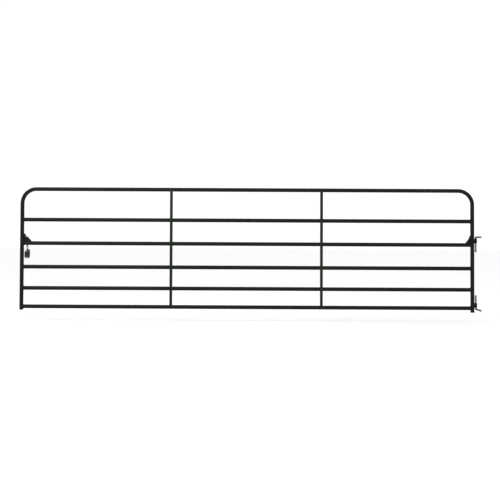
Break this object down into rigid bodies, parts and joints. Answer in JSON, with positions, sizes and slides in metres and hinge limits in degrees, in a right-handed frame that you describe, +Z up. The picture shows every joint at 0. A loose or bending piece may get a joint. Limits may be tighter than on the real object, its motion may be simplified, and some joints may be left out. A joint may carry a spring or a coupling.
{
  "type": "livestock panel gate",
  "caption": "Tubular steel farm gate with closer-spaced lower rails and two vertical braces, swinging on opposed screw hooks, with a chain latch.",
  "frame": {"origin": "on the lower hook's shank axis, where it enters the post face", "axes": "+Z up along the hinge axis's direction; the closed leaf runs along -X from the hinge; the hooks' shanks run into the post along -Y"},
  "size_m": [4.8561, 0.2254, 1.3113],
  "materials": {
    "gate_paint": "dark green powder coat, semi-gloss",
    "hook_zinc": "zinc plated, dull",
    "chain_steel": "dark zinc plated welded chain",
    "tie_band": "matt black"
  },
  "bodies": {
    "post_hooks": {"lower_hook": "hook_zinc", "upper_hook": "hook_zinc"},
    "gate_leaf": {"top_rail": "gate_paint", "latch_upright": "gate_paint", "hinge_upright": "gate_paint", "rail_2": "gate_paint", "rail_3": "gate_paint", "rail_4": "gate_paint", "rail_5": "gate_paint", "rail_6": "gate_paint", "brace_left": "gate_paint", "brace_right": "gate_paint", "latch_gusset": "gate_paint", "hinge_gusset": "gate_paint", "upper_hinge_eye": "gate_paint", "lower_hinge_eye": "gate_paint", "chain_staple": "gate_paint"},
    "chain_neck_upper": {"chain_link_01": "chain_steel"},
    "chain_neck_lower": {"chain_link_02": "chain_steel"},
    "chain_bundle": {"chain_link_03": "chain_steel", "chain_link_04": "chain_steel", "chain_link_05": "chain_steel", "chain_link_06": "chain_steel", "chain_link_07": "chain_steel", "chain_link_08": "chain_steel", "chain_link_09": "chain_steel", "chain_link_10": "chain_steel", "chain_link_11": "chain_steel", "chain_link_12": "chain_steel", "chain_link_13": "chain_steel", "chain_link_14": "chain_steel", "chain_link_15": "chain_steel", "chain_link_16": "chain_steel", "chain_link_17": "chain_steel", "chain_link_18": "chain_steel", "chain_link_19": "chain_steel", "chain_link_20": "chain_steel", "chain_link_21": "chain_steel", "chain_tie": "tie_band"}
  },
  "joints": [
    {"name": "leaf_swing", "type": "hinge", "parent": "post_hooks", "child": "gate_leaf", "pos_m": [0, 0.045, 0.01], "axis": [0, 0, 1], "range_deg": [-180, 10]},
    {"name": "chain_sway", "type": "hinge", "parent": "gate_leaf", "child": "chain_neck_upper", "pos_m": [-4.76355, 0.045, 0.64435], "axis": [0, 1, 0], "range_deg": [-30, 1.5]},
    {"name": "neck_swing", "type": "hinge", "parent": "chain_neck_upper", "child": "chain_neck_lower", "pos_m": [-4.76355, 0.045, 0.6229], "axis": [1, 0, 0], "range_deg": [-40, 40]},
    {"name": "bundle_sway", "type": "hinge", "parent": "chain_neck_lower", "child": "chain_bundle", "pos_m": [-4.76355, 0.045, 0.6012], "axis": [0, 1, 0], "range_deg": [-8, 2.5]}
  ]
}
